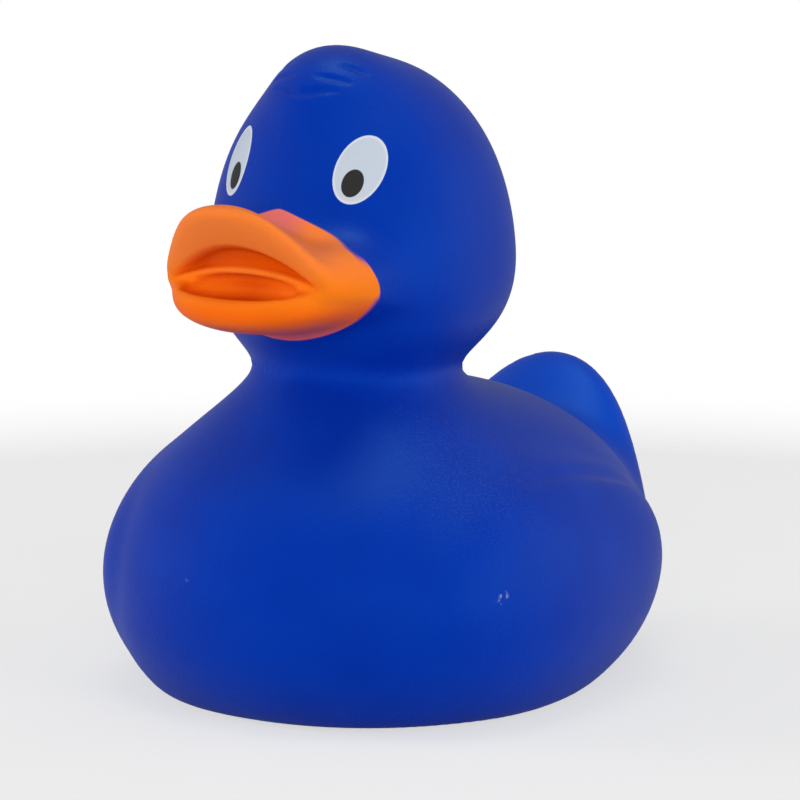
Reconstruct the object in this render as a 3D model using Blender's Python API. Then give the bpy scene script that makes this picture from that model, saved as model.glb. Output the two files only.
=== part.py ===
"""Rubber duck: one hollow moulded body and the squeaker plug that closes its base."""

import math

import bpy
import numpy as np

# Sizes in metres. The duck looks along -Y, its left side is at +X and it stands on z = 0.
# wall of the moulded shell and its floor
WALL = 0.0022
FLOOR = 0.0030
BASE_ROUNDING = 0.0020

# body, an egg given by its centre and its reach to each side
BODY_Y = 0.0002
BODY_Z = 0.0132
BODY_SIDE = 0.0324
BODY_FRONT = 0.0341
BODY_BACK = 0.0445
BODY_UP = 0.0273
BODY_DOWN = 0.0217
BODY_POWER = 2.14

# neck, which stands on the body
NECK_Y = BODY_Y - 0.0057
NECK_Z = BODY_Z + BODY_UP - 0.0049
NECK_RADIUS = 0.0127
NECK_REACH = 0.0086
NECK_BODY_BLEND = 0.0135
NECK_HEAD_BLEND = 0.0076

# head, narrowing towards its top
HEAD_Y = NECK_Y + 0.0020
HEAD_Z = NECK_Z + 0.0231
HEAD_SIDE = 0.0188
HEAD_FRONT = 0.0176
HEAD_BACK = 0.0223
HEAD_UP = 0.0236
HEAD_DOWN = 0.0187
HEAD_POWER = 2.16
HEAD_TAPER = 0.10

# tuft of feathers on top of the forehead
TUFT_Y = HEAD_Y - 0.0053
TUFT_Z = HEAD_Z + HEAD_UP - 0.0065
TUFT_SIDE = 0.0078
TUFT_REACH = 0.0076
TUFT_BLEND = 0.0056

# leaf shaped dents of the tuft, each from one end to the other as seen from the tuft's middle
FRONT_LEAF = ((0.0, -0.0075, 0.0023), (0.0050, -0.0059, 0.0028))
MIDDLE_LEAF = ((0.0016, -0.0061, 0.0045), (0.0058, -0.0044, 0.0036))
TOP_LEAF = ((0.0036, -0.0037, 0.0059), (0.0068, -0.0019, 0.0045))
FRONT_LEAF_WIDTH = 0.0009
MIDDLE_LEAF_WIDTH = 0.0007
TOP_LEAF_WIDTH = 0.0005
LEAF_DEPTH = 0.0007
LEAF_EDGE = 0.0009

# tail, a flat egg standing on its end at the back of the body
TAIL_Y = BODY_Y + BODY_BACK - 0.0069
TAIL_Z = BODY_Z + 0.0034
TAIL_SIDE = 0.0156
TAIL_LENGTH = 0.0230
TAIL_THICK = 0.0060
TAIL_TILT = 68.0
TAIL_BLEND = 0.0155

# wing on each flank of the body
WING_X = BODY_SIDE - 0.0083
WING_Y = BODY_Y + 0.0035
WING_Z = BODY_Z + 0.0022
WING_SIDE = 0.00885
WING_LENGTH = 0.0262
WING_HEIGHT = 0.0150
WING_TILT = 0.4
WING_BLEND = 0.0020
WING_FRONT_BLEND = 0.0080

# soft crease above each wing, from its front end to its back end as seen from the wing's middle
WING_CREASE = ((0.0029, -0.0107, 0.0146), (0.0027, 0.0203, 0.0111))
WING_CREASE_WIDEST = 0.65
WING_CREASE_WIDTH = 0.0010
WING_CREASE_DEPTH = 0.0009
WING_CREASE_EDGE = 0.0024

# cheeks, the root of the bill on the face
BILL_POWER = 2.3
CHEEK_Y = HEAD_Y - 0.0075
CHEEK_Z = HEAD_Z - 0.0037
CHEEK_SIDE = 0.0155
CHEEK_FRONT = 0.0125
CHEEK_BACK = 0.0080
CHEEK_UP = 0.0095
CHEEK_DOWN = 0.0060
CHEEK_BLEND = 0.0045

# upper bill: its rim is an arch whose legs run down and back
RIM_Y = HEAD_Y - 0.0311
RIM_Z = HEAD_Z + 0.0084
RIM_BACK = 39.0
RIM_DROP = 59.0
RIM_ROUNDING = 0.0026
FACE_SLOPE = 0.60
FACE_BULGE = 0.0005
FACE_HEIGHT = 0.0070
TOP_SLOPE = 0.50

# egg that rounds the ends of the upper bill, and its flat lower side
UPPER_Y = HEAD_Y - 0.0105
UPPER_Z = HEAD_Z - 0.0012
UPPER_LOW = HEAD_Z - 0.0041
UPPER_SIDE = 0.0142
UPPER_FRONT = 0.0240
UPPER_BACK = 0.0090
UPPER_UP = 0.0115
UPPER_DOWN = 0.0100
UPPER_ROUNDING = 0.0020

# lower bill
LIP_Y = HEAD_Y - 0.0163
LIP_Z = HEAD_Z - 0.0063
LIP_SIDE = 0.0123
LIP_FRONT = 0.0130
LIP_BACK = 0.0080
LIP_UP = 0.0024
LIP_DOWN = 0.0037
LIP_POWER = 2.8
LIP_BEND = 12.0
LIP_BLEND = 0.0024

# bulges at the corners of the mouth
CORNER_X = 0.0098
CORNER_Y = HEAD_Y - 0.0160
CORNER_Z = HEAD_Z - 0.0027
CORNER_SIDE = 0.0042
CORNER_FRONT = 0.0072
CORNER_UP = 0.0040
CORNER_BLEND = 0.0050
BILL_BLEND = 0.0045

# solid core that closes the inside of the mouth
CORE_Y = HEAD_Y - 0.0135
CORE_Z = HEAD_Z - 0.0027
CORE_SIDE = 0.0115
CORE_FRONT = 0.0113
CORE_HEIGHT = 0.0055
CORE_BLEND = 0.0010

# groove pressed into the upper bill between two arches: half width, height of its corners and of the arches
GROOVE_HALF = 0.0104
GROOVE_Z = HEAD_Z - 0.0030
GROOVE_TOP = 0.0043
GROOVE_LOW = 0.0017
GROOVE_DEPTH = 0.0015
GROOVE_EDGE = 0.0011

# dish cut into the front of the mouth under the tongue
MOUTH_Y = HEAD_Y - 0.0255
MOUTH_Z = HEAD_Z - 0.0038
MOUTH_SIDE = 0.0084
MOUTH_REACH = 0.0030
MOUTH_UP = 0.0017
MOUTH_DOWN = 0.0016
MOUTH_BEND = 5.0
MOUTH_ROUNDING = 0.0008

# squeaker plug in the base
PLUG_Y = 0.0020
PLUG_STEM = 0.0070
PLUG_FLANGE = 0.0090
PLUG_FLANGE_THICK = 0.0010
PLUG_BEAD = 0.0079
PLUG_BEAD_HEIGHT = 0.0014
PLUG_BEAD_SLOPE = 0.0008
PLUG_BARREL = 0.0062
PLUG_TOP = 0.0105
PLUG_INNER = 0.0050
PLUG_FLOOR = 0.0022
AIR_HOLE = 0.0012
RECESS = 0.0004
GAP = 0.0003
TURN_STEPS = 48

# how far a cutter or a grid reaches past what it holds
MARGIN = 0.0030

# grid of the surface nets and size of the finished meshes
COARSE_CELL = 0.0014
FINE_CELL = 0.0007
HOLLOW_CELL = 0.0028
SKIN_TRIANGLES = 8600
HOLLOW_TRIANGLES = 1800


def blend(a, b, reach):
    """Rounded union of two distance fields."""
    h = np.maximum(reach - np.abs(a - b), 0.0) / reach
    return np.minimum(a, b) - h ** 3 * reach / 6.0


def meet(a, b, reach):
    """Rounded intersection of two distance fields."""
    return -blend(-a, -b, reach)


def ramp(t, reach):
    s = np.clip(0.5 + 0.5 * t / reach, 0.0, 1.0)
    return s * s * (3.0 - 2.0 * s)


def egg(x, y, z, side, front, back, up, down, power=2.0, taper=0.0):
    """Egg around the origin, with its own reach to each side."""
    width = front + (back - front) * ramp(y, 0.3 * (front + back))
    height = down + (up - down) * ramp(z, 0.3 * (up + down))
    narrow = 1.0 - taper * np.clip(z / height, -1.5, 1.5)
    a = np.abs(x / (side * narrow)) ** power
    b = np.abs(y / (width * narrow)) ** power
    c = np.abs(z / height) ** power
    k = (a + b + c) ** (1.0 / power) + 1e-9
    return np.sqrt(x * x + y * y + z * z) * (1.0 - 1.0 / k)


def turned(y, z, degrees):
    c = math.cos(math.radians(degrees))
    s = math.sin(math.radians(degrees))
    return y * c + z * s, z * c - y * s


def trunk(x, y, z):
    """Body, neck and head."""
    body = egg(x, y - BODY_Y, z - BODY_Z, BODY_SIDE, BODY_FRONT, BODY_BACK, BODY_UP, BODY_DOWN, BODY_POWER)
    neck = egg(x, y - NECK_Y, z - NECK_Z, NECK_RADIUS, NECK_RADIUS, NECK_RADIUS, NECK_REACH, NECK_REACH)
    reach = (HEAD_SIDE, HEAD_FRONT, HEAD_BACK, HEAD_UP, HEAD_DOWN)
    head = egg(x, y - HEAD_Y, z - HEAD_Z, *reach, HEAD_POWER, HEAD_TAPER)
    return blend(blend(body, neck, NECK_BODY_BLEND), head, NECK_HEAD_BLEND)


def tail(x, y, z):
    along, across = turned(y - TAIL_Y, z - TAIL_Z, TAIL_TILT)
    return egg(x, along, across, TAIL_SIDE, TAIL_LENGTH, TAIL_LENGTH, TAIL_THICK, TAIL_THICK)


def wings(x, y, z):
    along, across = turned(y - WING_Y, z - WING_Z, WING_TILT)
    reach = (WING_SIDE, WING_LENGTH, WING_LENGTH, WING_HEIGHT, WING_HEIGHT)
    return egg(np.abs(x) - WING_X, along, across, *reach)


def tuft(x, y, z):
    return egg(x, y - TUFT_Y, z - TUFT_Z, TUFT_SIDE, TUFT_REACH, TUFT_REACH, TUFT_REACH, TUFT_REACH)


def leaf(x, y, z, ends, widest):
    """Distance to the line between the ends, and how full the leaf around it is at that place."""
    first = np.array(ends[0])
    span = np.array(ends[1]) - first
    offset = np.stack([x - first[0], y - first[1], z - first[2]], axis=-1)
    along = np.clip(offset @ span / (span @ span), 0.0, 1.0)
    away = np.linalg.norm(offset - along[..., None] * span, axis=-1)
    reach = np.where(along < widest, max(widest, 0.01), 1.0 - widest)
    return away, 1.0 - ((along - widest) / reach) ** 2


def dented(f, x, y, z):
    """Field with the leaf shaped dents of the tuft."""
    leaves = (
        (FRONT_LEAF, FRONT_LEAF_WIDTH, 0.0),
        (MIDDLE_LEAF, MIDDLE_LEAF_WIDTH, 0.5),
        (TOP_LEAF, TOP_LEAF_WIDTH, 0.5),
    )
    for ends, width, widest in leaves:
        away, full = leaf(np.abs(x), y - TUFT_Y, z - TUFT_Z, ends, widest)
        f = pressed(f, away - width * full, LEAF_DEPTH, LEAF_EDGE)
    return f


def plumage(x, y, z):
    """Everything of the body but the bill."""
    f = dented(blend(trunk(x, y, z), tuft(x, y, z), TUFT_BLEND), x, y, z)
    f = blend(f, tail(x, y, z), TAIL_BLEND)
    softness = WING_BLEND + (WING_FRONT_BLEND - WING_BLEND) * ramp(WING_Y - y, 0.6 * WING_LENGTH)
    f = blend(f, wings(x, y, z), softness)
    away, full = leaf(np.abs(x) - WING_X, y - WING_Y, z - WING_Z, WING_CREASE, WING_CREASE_WIDEST)
    f = pressed(f, away - WING_CREASE_WIDTH, WING_CREASE_DEPTH * full, WING_CREASE_EDGE)
    return meet(f, -z, BASE_ROUNDING)


def cheeks(x, y, z):
    reach = (CHEEK_SIDE, CHEEK_FRONT, CHEEK_BACK, CHEEK_UP, CHEEK_DOWN)
    return egg(x, y - CHEEK_Y, z - CHEEK_Z, *reach, BILL_POWER)


def upper_bill(x, y, z):
    """Arched plate that tips up: a face under the rim and a top behind it."""
    rim_y = RIM_Y + RIM_BACK * x * x
    rim_z = RIM_Z - RIM_DROP * x * x
    below = np.clip((rim_z - z) / FACE_HEIGHT, 0.0, 1.0)
    face = rim_y + FACE_SLOPE * (rim_z - z) - FACE_BULGE * np.sin(math.pi * below)
    top = rim_z - TOP_SLOPE * (y - rim_y)
    front_side = (face - y) / np.sqrt(1.0 + FACE_SLOPE ** 2 + (1.4 * RIM_BACK * x) ** 2)
    top_side = (z - top) / np.sqrt(1.0 + TOP_SLOPE ** 2 + (2.0 * RIM_DROP * x) ** 2)
    f = meet(front_side, top_side, RIM_ROUNDING)
    f = meet(f, UPPER_LOW - z, 0.5 * RIM_ROUNDING)
    reach = (UPPER_SIDE, UPPER_FRONT, UPPER_BACK, UPPER_UP, UPPER_DOWN)
    ends = egg(x, y - UPPER_Y, z - UPPER_Z, *reach, BILL_POWER)
    return meet(f, ends, UPPER_ROUNDING)


def lower_bill(x, y, z):
    level = z - LIP_Z - LIP_BEND * x * x
    return egg(x, y - LIP_Y, level, LIP_SIDE, LIP_FRONT, LIP_BACK, LIP_UP, LIP_DOWN, LIP_POWER)


def corners(x, y, z):
    """Bulge at each corner of the mouth."""
    reach = (CORNER_SIDE, CORNER_FRONT, CORNER_FRONT, CORNER_UP, CORNER_UP)
    return egg(np.abs(x) - CORNER_X, y - CORNER_Y, z - CORNER_Z, *reach)


def pressed(f, inside, depth, edge):
    """Field with its surface pushed in by the depth where the inside is negative."""
    t = np.clip(0.5 - inside / edge, 0.0, 1.0)
    return f + depth * t * t * (3.0 - 2.0 * t)


def grooved(f, x, y, z):
    """Field with the groove of the upper bill, which is deepest under its upper arch."""
    arch = 1.0 - (x / GROOVE_HALF) ** 2
    upper = GROOVE_Z + GROOVE_TOP * arch
    lower = GROOVE_Z + GROOVE_LOW * arch
    inside = meet(z - upper, lower - z, 0.7 * GROOVE_EDGE)
    inside = np.where(y < HEAD_Y, inside, GROOVE_EDGE)
    share = np.clip((z - lower) / np.maximum(upper - lower, 0.2 * GROOVE_EDGE), 0.0, 1.0)
    return pressed(f, inside, GROOVE_DEPTH * (0.5 + 0.5 * share), GROOVE_EDGE)


def mouth_dish(x, y, z):
    level = z - MOUTH_Z + MOUTH_BEND * x * x
    return egg(x, y - MOUTH_Y, level, MOUTH_SIDE, MOUTH_REACH, MOUTH_REACH, MOUTH_UP, MOUTH_DOWN, BILL_POWER)


def duck(x, y, z):
    """Outside of the whole duck."""
    bill = blend(upper_bill(x, y, z), lower_bill(x, y, z), LIP_BLEND)
    bill = blend(bill, corners(x, y, z), CORNER_BLEND)
    f = blend(plumage(x, y, z), cheeks(x, y, z), CHEEK_BLEND)
    f = grooved(blend(f, bill, BILL_BLEND), x, y, z)
    reach = (CORE_SIDE, CORE_FRONT, CORE_FRONT, CORE_HEIGHT, CORE_HEIGHT)
    core = egg(x, y - CORE_Y, z - CORE_Z, *reach, BILL_POWER)
    return meet(blend(f, core, CORE_BLEND), -mouth_dish(x, y, z), MOUTH_ROUNDING)


def hollow(x, y, z):
    """Inside of the shell, smoother than its outside."""
    f = blend(trunk(x, y, z), tail(x, y, z), TAIL_BLEND)
    return meet(f + WALL, FLOOR - z, 2.0 * BASE_ROUNDING)


def steps(low, high, fine_low, fine_high, coarse, fine):
    """Grid lines from low to high, closer together in the middle part."""
    first = np.linspace(low, fine_low, max(2, round((fine_low - low) / coarse) + 1))
    middle = np.linspace(fine_low, fine_high, max(2, round((fine_high - fine_low) / fine) + 1))
    last = np.linspace(fine_high, high, max(2, round((high - fine_high) / coarse) + 1))
    return np.unique(np.concatenate([first, middle, last]))


def softened(value):
    """Grid values without detail finer than a cell, so that the net stays a clean surface."""
    for axis in range(3):
        wide = np.moveaxis(np.pad(value, 1, mode="edge"), axis, 0)
        value = np.moveaxis(0.25 * wide[:-2] + 0.5 * wide[1:-1] + 0.25 * wide[2:], 0, axis)
        trim = tuple(slice(None) if k == axis else slice(1, -1) for k in range(3))
        value = value[trim]
    return value


def surface_net(field, lines):
    """Closed quad mesh of the surface where the field is zero."""
    grid = np.stack(np.meshgrid(*lines, indexing="ij"), axis=-1)
    value = softened(field(grid[..., 0], grid[..., 1], grid[..., 2]))
    inside = value < 0.0
    cells = tuple(n - 1 for n in value.shape)
    total = np.zeros((cells[0] * cells[1] * cells[2], 3))
    count = np.zeros(len(total))
    quads = []
    for axis in range(3):
        low = tuple(slice(None, -1) if k == axis else slice(None) for k in range(3))
        high = tuple(slice(1, None) if k == axis else slice(None) for k in range(3))
        at = np.argwhere(inside[low] != inside[high])
        edge = tuple(at.T)
        share = value[low][edge] / (value[low][edge] - value[high][edge])
        point = grid[low][edge] + share[:, None] * (grid[high][edge] - grid[low][edge])
        u = np.eye(3, dtype=int)[(axis + 1) % 3]
        v = np.eye(3, dtype=int)[(axis + 2) % 3]
        corners = [at - u - v, at - v, at, at - u]
        around = [np.ravel_multi_index(tuple(corner.T), cells) for corner in corners]
        for cell in around:
            np.add.at(total, cell, point)
            np.add.at(count, cell, 1)
        ring = np.stack(around, axis=1)
        outward = inside[low][edge]
        ring[~outward] = ring[~outward][:, ::-1]
        quads.append(ring)
    used = np.flatnonzero(count)
    number = np.full(len(total), -1)
    number[used] = np.arange(len(used))
    return total[used] / count[used][:, None], number[np.concatenate(quads)]


def settled(field, points, cell):
    """Points moved onto the surface of the field."""
    small = 1e-5
    for _ in range(4):
        x, y, z = points.T
        f = field(x, y, z)
        slope = np.stack([
            field(x + small, y, z) - field(x - small, y, z),
            field(x, y + small, z) - field(x, y - small, z),
            field(x, y, z + small) - field(x, y, z - small),
        ], axis=1) / (2.0 * small)
        move = -f[:, None] * slope / np.maximum((slope ** 2).sum(axis=1), 0.05)[:, None]
        length = np.maximum(np.linalg.norm(move, axis=1), 1e-12)
        points = points + move * np.minimum(1.0, 0.3 * cell / length)[:, None]
    return points


def principled(name, colour, roughness):
    material = bpy.data.materials.new(name)
    material.use_nodes = True
    shader = material.node_tree.nodes["Principled BSDF"]
    shader.inputs["Base Color"].default_value = (*colour, 1.0)
    shader.inputs["Roughness"].default_value = roughness
    material.diffuse_color = (*colour, 1.0)
    return material


def mesh_object(name, points, faces):
    mesh = bpy.data.meshes.new(name)
    mesh.from_pydata([tuple(p) for p in points], [], [tuple(f) for f in faces])
    mesh.update()
    mesh.shade_smooth()
    body = bpy.data.objects.new(name, mesh)
    bpy.context.scene.collection.objects.link(body)
    return body


def thinned(points, faces, triangles):
    """The same surface with fewer triangles where it is flat."""
    body = mesh_object("net", points, faces)
    count = sum(len(face.vertices) - 2 for face in body.data.polygons)
    modifier = body.modifiers.new("Fewer triangles", "DECIMATE")
    modifier.ratio = min(1.0, triangles / count)
    graph = bpy.context.evaluated_depsgraph_get()
    mesh = body.evaluated_get(graph).to_mesh()
    points = np.array([vertex.co[:] for vertex in mesh.vertices])
    faces = [tuple(face.vertices) for face in mesh.polygons]
    bpy.data.objects.remove(body)
    return points, faces


def cut(body, cutter):
    cutter.hide_render = True
    cutter.display_type = "WIRE"
    modifier = body.modifiers.new("Cut " + cutter.name, "BOOLEAN")
    modifier.operation = "DIFFERENCE"
    modifier.solver = "EXACT"
    modifier.object = cutter


def profile_object(name, profile, y):
    """Round piece turned from a profile of radius and height."""
    mesh = bpy.data.meshes.new(name)
    points = [(r, 0.0, z) for r, z in profile]
    edges = [(k, k + 1) for k in range(len(points) - 1)]
    if profile[0][0] > 0.0:
        edges.append((len(points) - 1, 0))
    mesh.from_pydata(points, edges, [])
    body = bpy.data.objects.new(name, mesh)
    body.location = (0.0, y, 0.0)
    bpy.context.scene.collection.objects.link(body)
    screw = body.modifiers.new("Turn", "SCREW")
    screw.angle = math.tau
    screw.steps = TURN_STEPS
    screw.render_steps = TURN_STEPS
    screw.use_merge_vertices = True
    screw.merge_threshold = 1e-5
    screw.use_smooth_shade = True
    return body


def thin_net(field, lines, cell, triangles):
    points, faces = surface_net(field, lines)
    return thinned(settled(field, points, cell), faces, triangles)


def outer_net():
    half = max(BODY_SIDE, WING_X + WING_SIDE) + MARGIN
    front = min(RIM_Y, BODY_Y - BODY_FRONT) - MARGIN
    back = TAIL_Y + TAIL_LENGTH
    top = max(HEAD_Z + HEAD_UP, TUFT_Z + TUFT_REACH) + MARGIN
    right = steps(0.0, half, 0.0, UPPER_SIDE + MARGIN, COARSE_CELL, FINE_CELL)
    lines = [
        np.concatenate([-right[::-1], right[1:]]),
        steps(front, back, front + FINE_CELL, TUFT_Y, COARSE_CELL, FINE_CELL),
        steps(-MARGIN, top, LIP_Z - 2.0 * MARGIN, top - FINE_CELL, COARSE_CELL, FINE_CELL),
    ]
    return thin_net(duck, lines, FINE_CELL, SKIN_TRIANGLES)


def inner_net():
    right = np.arange(0.0, BODY_SIDE + MARGIN + HOLLOW_CELL, HOLLOW_CELL)
    lines = [
        np.concatenate([-right[::-1], right[1:]]),
        np.arange(BODY_Y - BODY_FRONT - MARGIN, TAIL_Y + TAIL_LENGTH, HOLLOW_CELL),
        np.arange(FLOOR - 1.5 * HOLLOW_CELL, HEAD_Z + HEAD_UP + MARGIN, HOLLOW_CELL),
    ]
    return thin_net(hollow, lines, HOLLOW_CELL, HOLLOW_TRIANGLES)


def make_shell():
    """Moulded shell, the outside net and the inside net that faces the other way."""
    points, faces = outer_net()
    inner_points, inner_faces = inner_net()
    first = len(points)
    lining = [tuple(first + k for k in reversed(face)) for face in inner_faces]
    return mesh_object("duck_body", np.concatenate([points, inner_points]), faces + lining)


def make_bore():
    """Stepped hole for the plug through the floor."""
    seat = RECESS + PLUG_FLANGE_THICK + GAP
    profile = [
        (0.0, FLOOR + MARGIN),
        (PLUG_STEM + GAP, FLOOR + MARGIN),
        (PLUG_STEM + GAP, seat),
        (PLUG_FLANGE + GAP, seat),
        (PLUG_FLANGE + GAP, -MARGIN),
        (0.0, -MARGIN),
    ]
    return profile_object("bore", profile, PLUG_Y)


def make_plug():
    flange_top = RECESS + PLUG_FLANGE_THICK
    bead_low = FLOOR + GAP
    bead_top = bead_low + PLUG_BEAD_HEIGHT
    profile = [
        (PLUG_INNER, PLUG_TOP),
        (PLUG_BARREL, PLUG_TOP),
        (PLUG_BARREL, bead_top + PLUG_BEAD_SLOPE),
        (PLUG_BEAD, bead_top),
        (PLUG_BEAD, bead_low),
        (PLUG_STEM, bead_low),
        (PLUG_STEM, flange_top),
        (PLUG_FLANGE, flange_top),
        (PLUG_FLANGE, RECESS),
        (AIR_HOLE, RECESS),
        (AIR_HOLE, RECESS + PLUG_FLOOR),
        (PLUG_INNER, RECESS + PLUG_FLOOR),
    ]
    return profile_object("squeaker", profile, PLUG_Y)


def centre_on_origin(bodies, shell):
    """Everything moved so that the origin is under the middle of the duck."""
    ends = [corner[1] for corner in shell.bound_box]
    middle = 0.5 * (min(ends) + max(ends))
    for body in bodies:
        body.location.y -= middle


def build():
    for old in list(bpy.data.objects):
        bpy.data.objects.remove(old)
    shell = make_shell()
    bore = make_bore()
    plug = make_plug()
    cut(shell, bore)
    shell.data.materials.append(principled("vinyl_blue", (0.003, 0.045, 0.42), 0.45))
    plug.data.materials.append(principled("plug_white", (0.72, 0.72, 0.70), 0.4))
    centre_on_origin((shell, bore, plug), shell)
    bpy.context.view_layer.update()


build()
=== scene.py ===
"""Looks of the rubber duck: its finished surfaces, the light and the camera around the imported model."""

import math

import bpy
import numpy as np
from mathutils import Matrix, Vector


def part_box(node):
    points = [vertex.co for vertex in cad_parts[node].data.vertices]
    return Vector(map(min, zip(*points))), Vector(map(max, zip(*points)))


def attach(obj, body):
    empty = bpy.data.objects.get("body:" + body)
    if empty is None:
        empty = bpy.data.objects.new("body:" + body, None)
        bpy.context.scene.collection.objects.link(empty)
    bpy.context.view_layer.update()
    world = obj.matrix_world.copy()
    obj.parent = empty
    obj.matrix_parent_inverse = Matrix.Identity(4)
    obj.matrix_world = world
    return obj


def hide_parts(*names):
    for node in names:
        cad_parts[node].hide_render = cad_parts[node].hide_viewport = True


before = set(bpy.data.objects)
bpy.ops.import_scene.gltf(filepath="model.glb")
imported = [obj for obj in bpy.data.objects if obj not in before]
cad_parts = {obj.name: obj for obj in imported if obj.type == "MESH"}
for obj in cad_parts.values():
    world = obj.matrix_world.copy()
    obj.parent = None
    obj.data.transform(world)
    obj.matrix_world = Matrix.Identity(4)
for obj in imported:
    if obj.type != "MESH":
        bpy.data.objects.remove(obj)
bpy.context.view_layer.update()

# Sizes in metres, as in the part's source. The duck looks along -Y and its left side is at +X.
BASE_ROUNDING = 0.0020

# body, an egg given by its centre and its reach to each side
BODY_Y = 0.0002
BODY_Z = 0.0132
BODY_SIDE = 0.0324
BODY_FRONT = 0.0341
BODY_BACK = 0.0445
BODY_UP = 0.0273
BODY_DOWN = 0.0217
BODY_POWER = 2.14

# neck, which stands on the body
NECK_Y = BODY_Y - 0.0057
NECK_Z = BODY_Z + BODY_UP - 0.0049
NECK_RADIUS = 0.0127
NECK_REACH = 0.0086
NECK_BODY_BLEND = 0.0135
NECK_HEAD_BLEND = 0.0076

# head, narrowing towards its top
HEAD_Y = NECK_Y + 0.0020
HEAD_Z = NECK_Z + 0.0231
HEAD_SIDE = 0.0188
HEAD_FRONT = 0.0176
HEAD_BACK = 0.0223
HEAD_UP = 0.0236
HEAD_DOWN = 0.0187
HEAD_POWER = 2.16
HEAD_TAPER = 0.10

# tuft of feathers on top of the forehead
TUFT_Y = HEAD_Y - 0.0053
TUFT_Z = HEAD_Z + HEAD_UP - 0.0065
TUFT_SIDE = 0.0078
TUFT_REACH = 0.0076
TUFT_BLEND = 0.0056

# leaf shaped dents of the tuft, each from one end to the other as seen from the tuft's middle
FRONT_LEAF = ((0.0, -0.0075, 0.0023), (0.0050, -0.0059, 0.0028))
MIDDLE_LEAF = ((0.0016, -0.0061, 0.0045), (0.0058, -0.0044, 0.0036))
TOP_LEAF = ((0.0036, -0.0037, 0.0059), (0.0068, -0.0019, 0.0045))
FRONT_LEAF_WIDTH = 0.0004
MIDDLE_LEAF_WIDTH = 0.00025
TOP_LEAF_WIDTH = 0.0003
FRONT_LEAF_WIDEST = 0.0
SIDE_LEAF_WIDEST = 0.5
LEAF_DEPTH = 0.0006
LEAF_EDGE = 0.0008

# tail, a flat egg standing on its end at the back of the body
TAIL_Y = BODY_Y + BODY_BACK - 0.0069
TAIL_Z = BODY_Z + 0.0034
TAIL_SIDE = 0.0156
TAIL_LENGTH = 0.0230
TAIL_THICK = 0.0060
TAIL_TILT = 68.0
TAIL_BLEND = 0.0155

# wing on each flank of the body
WING_X = BODY_SIDE - 0.0083
WING_Y = BODY_Y + 0.0035
WING_Z = BODY_Z + 0.0022
WING_SIDE = 0.00885
WING_LENGTH = 0.0262
WING_HEIGHT = 0.0150
WING_TILT = 0.4
WING_BLEND = 0.0020
WING_FRONT_BLEND = 0.0080

# soft crease above each wing, from its front end to its back end as seen from the wing's middle
WING_CREASE = ((0.0029, -0.0107, 0.0146), (0.0027, 0.0203, 0.0111))
WING_CREASE_WIDEST = 0.65
WING_CREASE_WIDTH = 0.0010
WING_CREASE_DEPTH = 0.0009
WING_CREASE_EDGE = 0.0024

# cheeks, the root of the bill on the face
BILL_POWER = 2.3
CHEEK_Y = HEAD_Y - 0.0075
CHEEK_Z = HEAD_Z - 0.0037
CHEEK_SIDE = 0.0155
CHEEK_FRONT = 0.0125
CHEEK_BACK = 0.0080
CHEEK_UP = 0.0095
CHEEK_DOWN = 0.0060
CHEEK_BLEND = 0.0045

# upper bill: its rim is an arch whose legs run down and back
RIM_Y = HEAD_Y - 0.0311
RIM_Z = HEAD_Z + 0.0084
RIM_BACK = 39.0
RIM_DROP = 59.0
RIM_ROUNDING = 0.0026
FACE_SLOPE = 0.60
FACE_BULGE = 0.0005
FACE_HEIGHT = 0.0070
TOP_SLOPE = 0.50

# egg that rounds the ends of the upper bill, and its flat lower side
UPPER_Y = HEAD_Y - 0.0105
UPPER_Z = HEAD_Z - 0.0012
UPPER_LOW = HEAD_Z - 0.0041
UPPER_SIDE = 0.0142
UPPER_FRONT = 0.0240
UPPER_BACK = 0.0090
UPPER_UP = 0.0115
UPPER_DOWN = 0.0100
UPPER_ROUNDING = 0.0020

# lower bill
LIP_Y = HEAD_Y - 0.0163
LIP_Z = HEAD_Z - 0.0063
LIP_SIDE = 0.0123
LIP_FRONT = 0.0130
LIP_BACK = 0.0080
LIP_UP = 0.0024
LIP_DOWN = 0.0037
LIP_POWER = 2.8
LIP_BEND = 12.0
LIP_BLEND = 0.0024

# bulges at the corners of the mouth
CORNER_X = 0.0098
CORNER_Y = HEAD_Y - 0.0160
CORNER_Z = HEAD_Z - 0.0027
CORNER_SIDE = 0.0042
CORNER_FRONT = 0.0072
CORNER_UP = 0.0040
CORNER_BLEND = 0.0050
BILL_BLEND = 0.0045

# solid core that closes the inside of the mouth
CORE_Y = HEAD_Y - 0.0135
CORE_Z = HEAD_Z - 0.0027
CORE_SIDE = 0.0115
CORE_FRONT = 0.0113
CORE_HEIGHT = 0.0055
CORE_BLEND = 0.0010

# groove pressed into the upper bill between two arches that share their corners
GROOVE_HALF = 0.0104
GROOVE_Z = HEAD_Z - 0.0030
GROOVE_TOP = 0.0043
GROOVE_LOW = 0.0017
GROOVE_DEPTH = 0.0015
GROOVE_EDGE = 0.0011

# dish cut into the front of the mouth under the tongue
MOUTH_Y = HEAD_Y - 0.0255
MOUTH_Z = HEAD_Z - 0.0038
MOUTH_SIDE = 0.0084
MOUTH_REACH = 0.0030
MOUTH_UP = 0.0017
MOUTH_DOWN = 0.0016
MOUTH_BEND = 5.0
MOUTH_ROUNDING = 0.0008

# bore for the squeaker in the base
BORE_Y = 0.0020
BORE_MOUTH = 0.0093
BORE_STEM = 0.0073
BORE_SEAT = 0.0017
BORE_TOP = 0.0060
TURN_STEPS = 96

# how far a cutter or a grid reaches past what it holds
MARGIN = 0.0030

# grid of the surface net: its cells, how many of them a rough look takes as one block, and within how many
# blocks of the surface every cell is worked out
COARSE_CELL = 0.0009
FINE_CELL = 0.00038
BLOCK = 4
BLOCK_REACH = 1.2

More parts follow.
